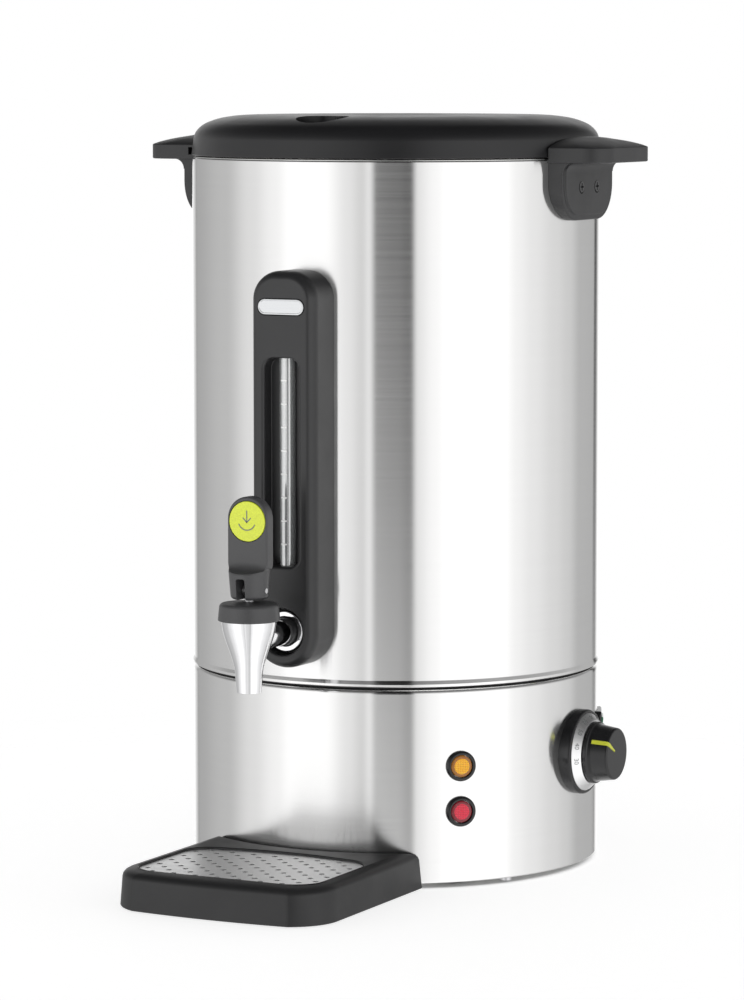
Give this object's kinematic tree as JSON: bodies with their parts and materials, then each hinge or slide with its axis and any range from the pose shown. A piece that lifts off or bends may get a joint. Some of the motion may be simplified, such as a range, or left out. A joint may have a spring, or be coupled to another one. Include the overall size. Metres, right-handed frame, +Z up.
{
  "type": "hot beverage boiler",
  "caption": "Double-walled steel drum on a heated base, with lever tap, sight glass panel, bayonet lid, wing handles and a loose drip tray.",
  "frame": {"origin": "on the drum's axis at table level, under the middle of the boiler", "axes": "+Z up along the drum's axis, -Y forward to the tap and the drip tray, +X to the side with the knob and the lamps"},
  "size_m": [0.307, 0.378, 0.45],
  "materials": {
    "brushed_steel": "stainless steel brushed round the drum",
    "tank_steel": "satin stainless steel",
    "grid_steel": "bright perforated stainless steel",
    "bright_chrome": "chrome plated",
    "zinc_steel": "zinc plated steel",
    "cast_aluminium": "cast aluminium",
    "badge_aluminium": "satin anodised plate",
    "dial_aluminium": "silver dial with grey figures",
    "gauge_brass": "nickel plated brass",
    "copper_tube": "bare copper capillary tube",
    "lid_plastic": "satin black moulded plastic",
    "black_plastic": "fine-grained black moulded plastic",
    "panel_plastic": "satin charcoal moulded plastic",
    "gloss_black": "polished black plastic",
    "black_screws": "blackened steel",
    "black_rubber": "dull black rubber",
    "pale_silicone": "translucent white silicone",
    "cream_plastic": "cream insulating plastic",
    "clear_glass": "clear borosilicate tube",
    "lime_plastic": "lime green plastic",
    "yellow_mark": "yellow printed mark",
    "green_lens": "translucent green plastic",
    "amber_lens": "translucent amber lens with a prism grid",
    "red_lens": "translucent red lens with a prism grid"
  },
  "bodies": {
    "root": {"base_shell": "brushed_steel", "outer_shell": "brushed_steel", "seam_seal": "black_rubber", "inner_tank": "tank_steel", "bottom_plate": "tank_steel", "feet": "black_rubber", "plate_screws": "zinc_steel", "tie_rods": "zinc_steel", "heating_plate": "cast_aluminium", "heating_element": "zinc_steel", "thermal_cutout": "cream_plastic", "terminal_block": "cream_plastic", "cable_gland": "black_plastic", "gland_locknut": "black_plastic", "handle_right": "black_plastic", "handle_left": "black_plastic", "handle_screws": "black_screws", "handle_nuts": "zinc_steel", "front_panel": "panel_plastic", "panel_screw": "zinc_steel", "panel_badge": "badge_aluminium", "sight_glass": "clear_glass", "gauge_fitting_lower": "gauge_brass", "gauge_fitting_upper": "gauge_brass", "gauge_seals": "pale_silicone", "gauge_nuts": "gauge_brass", "tap_shank": "bright_chrome", "tap_nut": "bright_chrome", "tap_sleeve": "black_plastic", "tap_washers": "pale_silicone", "tank_nut": "zinc_steel", "tap_body": "bright_chrome", "tap_cap": "gloss_black", "thermostat_body": "cream_plastic", "sensor_line": "copper_tube", "knob_bezel": "gloss_black", "dial_ring": "dial_aluminium", "rocker_frame": "gloss_black", "switch_body": "gloss_black", "lamp_bezels": "gloss_black", "lamp_lens_amber": "amber_lens", "lamp_lens_red": "red_lens", "lamp_bodies": "cream_plastic"},
    "lid_gasket": {"lid_seal": "pale_silicone"},
    "lid": {"lid_shell": "lid_plastic", "lid_liner": "tank_steel", "lid_screws": "zinc_steel"},
    "stem": {"valve_stem": "zinc_steel", "seat_cup": "pale_silicone", "tap_spring": "zinc_steel", "lever_pin": "zinc_steel"},
    "tap_lever": {"lever": "gloss_black", "lever_disc": "lime_plastic"},
    "thermostat_knob": {"knob": "gloss_black", "knob_pointer": "yellow_mark", "thermostat_shaft": "zinc_steel"},
    "rocker": {"rocker_button": "green_lens"},
    "tray": {"drip_tray": "black_plastic"},
    "grid": {"drip_grid": "grid_steel"}
  },
  "joints": [
    {"name": "lid_lift", "type": "slide", "parent": "root", "child": "lid_gasket", "axis": [0, 0, 1], "range_m": [0, 0.16]},
    {"name": "lid_turn", "type": "hinge", "parent": "lid_gasket", "child": "lid", "pos_m": [0, 0, 0.4255], "axis": [0, 0, 1], "range_deg": [0, 25]},
    {"name": "stem_lift", "type": "slide", "parent": "root", "child": "stem", "axis": [0, 0, 1], "range_m": [0, 0.004]},
    {"name": "lever_tilt", "type": "hinge", "parent": "stem", "child": "tap_lever", "pos_m": [0, -0.187, 0.182], "axis": [1, 0, 0], "range_deg": [0, 35], "stiffness_Nm_per_rad": 0.05},
    {"name": "knob_turn", "type": "hinge", "parent": "root", "child": "thermostat_knob", "pos_m": [0.13, 0, 0.071], "axis": [1, 0, 0], "range_deg": [-161, 70]},
    {"name": "rocker_tilt", "type": "hinge", "parent": "root", "child": "rocker", "pos_m": [0.10963, 0.04881, 0.073], "axis": [-0.4067, 0.9135, 0], "range_deg": [0, 18]},
    {"name": "tray_slide", "type": "slide", "parent": "root", "child": "tray", "axis": [0, -1, 0], "range_m": [0, 0.14]},
    {"name": "grid_lift", "type": "slide", "parent": "tray", "child": "grid", "axis": [0, 0, 1], "range_m": [0, 0.04]}
  ],
  "couplings": [
    {"joint": "stem_lift", "follows": "lever_tilt", "m_per_rad": 0.006548}
  ]
}
